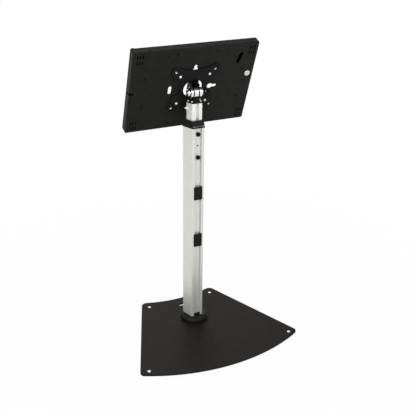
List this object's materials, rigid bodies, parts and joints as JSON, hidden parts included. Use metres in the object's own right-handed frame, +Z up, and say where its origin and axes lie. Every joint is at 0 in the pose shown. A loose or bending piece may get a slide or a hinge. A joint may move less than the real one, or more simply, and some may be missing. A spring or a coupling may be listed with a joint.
{
  "type": "tablet kiosk floor stand",
  "caption": "Floor stand with a steel base, a telescoping aluminium column with a cable channel, a tilting head and a locking tablet enclosure with a hinged frame.",
  "frame": {"origin": "on the floor, on the column's axis", "axes": "+Z up, -Y towards the person who faces the screen, +X to that person's right"},
  "size_m": [0.4372, 0.3416, 0.7486],
  "materials": {
    "base_powder_coat": "fine textured charcoal powder coat on steel plate",
    "rubber_pad": "plain black rubber",
    "black_steel": "black oxide steel",
    "black_plastic": "moulded black nylon",
    "foot_steel": "machined steel",
    "satin_aluminium": "satin anodised extrusion with fine lengthwise lines",
    "glide_plastic": "low friction black plastic",
    "zinc_steel": "bright zinc plated steel",
    "neck_powder_coat": "satin black powder coat",
    "chrome": "polished chrome plate",
    "case_powder_coat": "fine textured black powder coat on sheet steel",
    "black_foam": "closed cell foam",
    "lock_nickel": "satin nickel plated lock"
  },
  "bodies": {
    "stand": {"base_plate": "base_powder_coat", "base_pads": "rubber_pad", "base_bolts": "black_steel", "foot_collar": "black_plastic", "foot_block": "foot_steel", "foot_grub_screws": "black_steel", "outer_tube": "satin_aluminium", "upper_glide": "glide_plastic", "top_collar": "black_plastic", "lock_inserts": "zinc_steel"},
    "mast": {"inner_tube": "satin_aluminium", "tail_glide": "glide_plastic", "stop_screws": "zinc_steel", "head_cap": "neck_powder_coat", "cap_screws": "zinc_steel", "centre_knuckle": "chrome", "friction_washers": "glide_plastic"},
    "head": {"tilt_bracket": "neck_powder_coat", "outer_knuckles": "chrome", "hinge_bolt": "chrome", "hinge_nut": "black_steel", "hinge_washers": "chrome", "bracket_screws": "black_steel", "vesa_plate": "neck_powder_coat", "vesa_screws": "zinc_steel", "vesa_nuts": "zinc_steel", "rear_shell": "case_powder_coat", "lock_barrel": "lock_nickel", "lock_nut": "lock_nickel", "door_hinge_rod": "zinc_steel", "side_stops": "case_powder_coat", "end_stops": "case_powder_coat", "stop_foam": "black_foam", "stop_studs": "black_steel", "stud_nuts": "black_steel", "backing_pads": "black_foam"},
    "door": {"front_frame": "case_powder_coat", "bezel_gasket": "black_foam"},
    "lock": {"lock_core": "lock_nickel", "lock_cam": "zinc_steel", "cam_screw": "zinc_steel"},
    "upper_lock": {"upper_lock_screw": "black_steel"},
    "lower_lock": {"lower_lock_screw": "black_steel"},
    "upper_clip": {"upper_cable_clip": "black_plastic"},
    "lower_clip": {"lower_cable_clip": "black_plastic"}
  },
  "joints": [
    {"name": "height_slide", "type": "slide", "parent": "stand", "child": "mast", "axis": [0, 0, 1], "range_m": [-0.024, 0.38]},
    {"name": "head_tilt", "type": "hinge", "parent": "mast", "child": "head", "pos_m": [0, 0, 0.6326], "axis": [1, 0, 0], "range_deg": [-70, 12]},
    {"name": "door_swing", "type": "hinge", "parent": "head", "child": "door", "pos_m": [0.1546, -0.03515, 0.6439], "axis": [0, 0.342, 0.9397], "range_deg": [0, 90]},
    {"name": "lock_turn", "type": "hinge", "parent": "head", "child": "lock", "pos_m": [-0.141, -0.01046, 0.66205], "axis": [0, 0.9397, -0.342], "range_deg": [0, 90]},
    {"name": "upper_lock_screw_turn", "type": "hinge", "parent": "stand", "child": "upper_lock", "pos_m": [0, 0.0136, 0.533], "axis": [0, 1, 0], "range_deg": [0, 720]},
    {"name": "lower_lock_screw_turn", "type": "hinge", "parent": "stand", "child": "lower_lock", "pos_m": [0, 0.0136, 0.474], "axis": [0, 1, 0], "range_deg": [0, 720]},
    {"name": "upper_clip_slide", "type": "slide", "parent": "stand", "child": "upper_clip", "axis": [0, 0, 1], "range_m": [-0.04, 0.05]},
    {"name": "lower_clip_slide", "type": "slide", "parent": "stand", "child": "lower_clip", "axis": [0, 0, 1], "range_m": [-0.06, 0.05]}
  ]
}
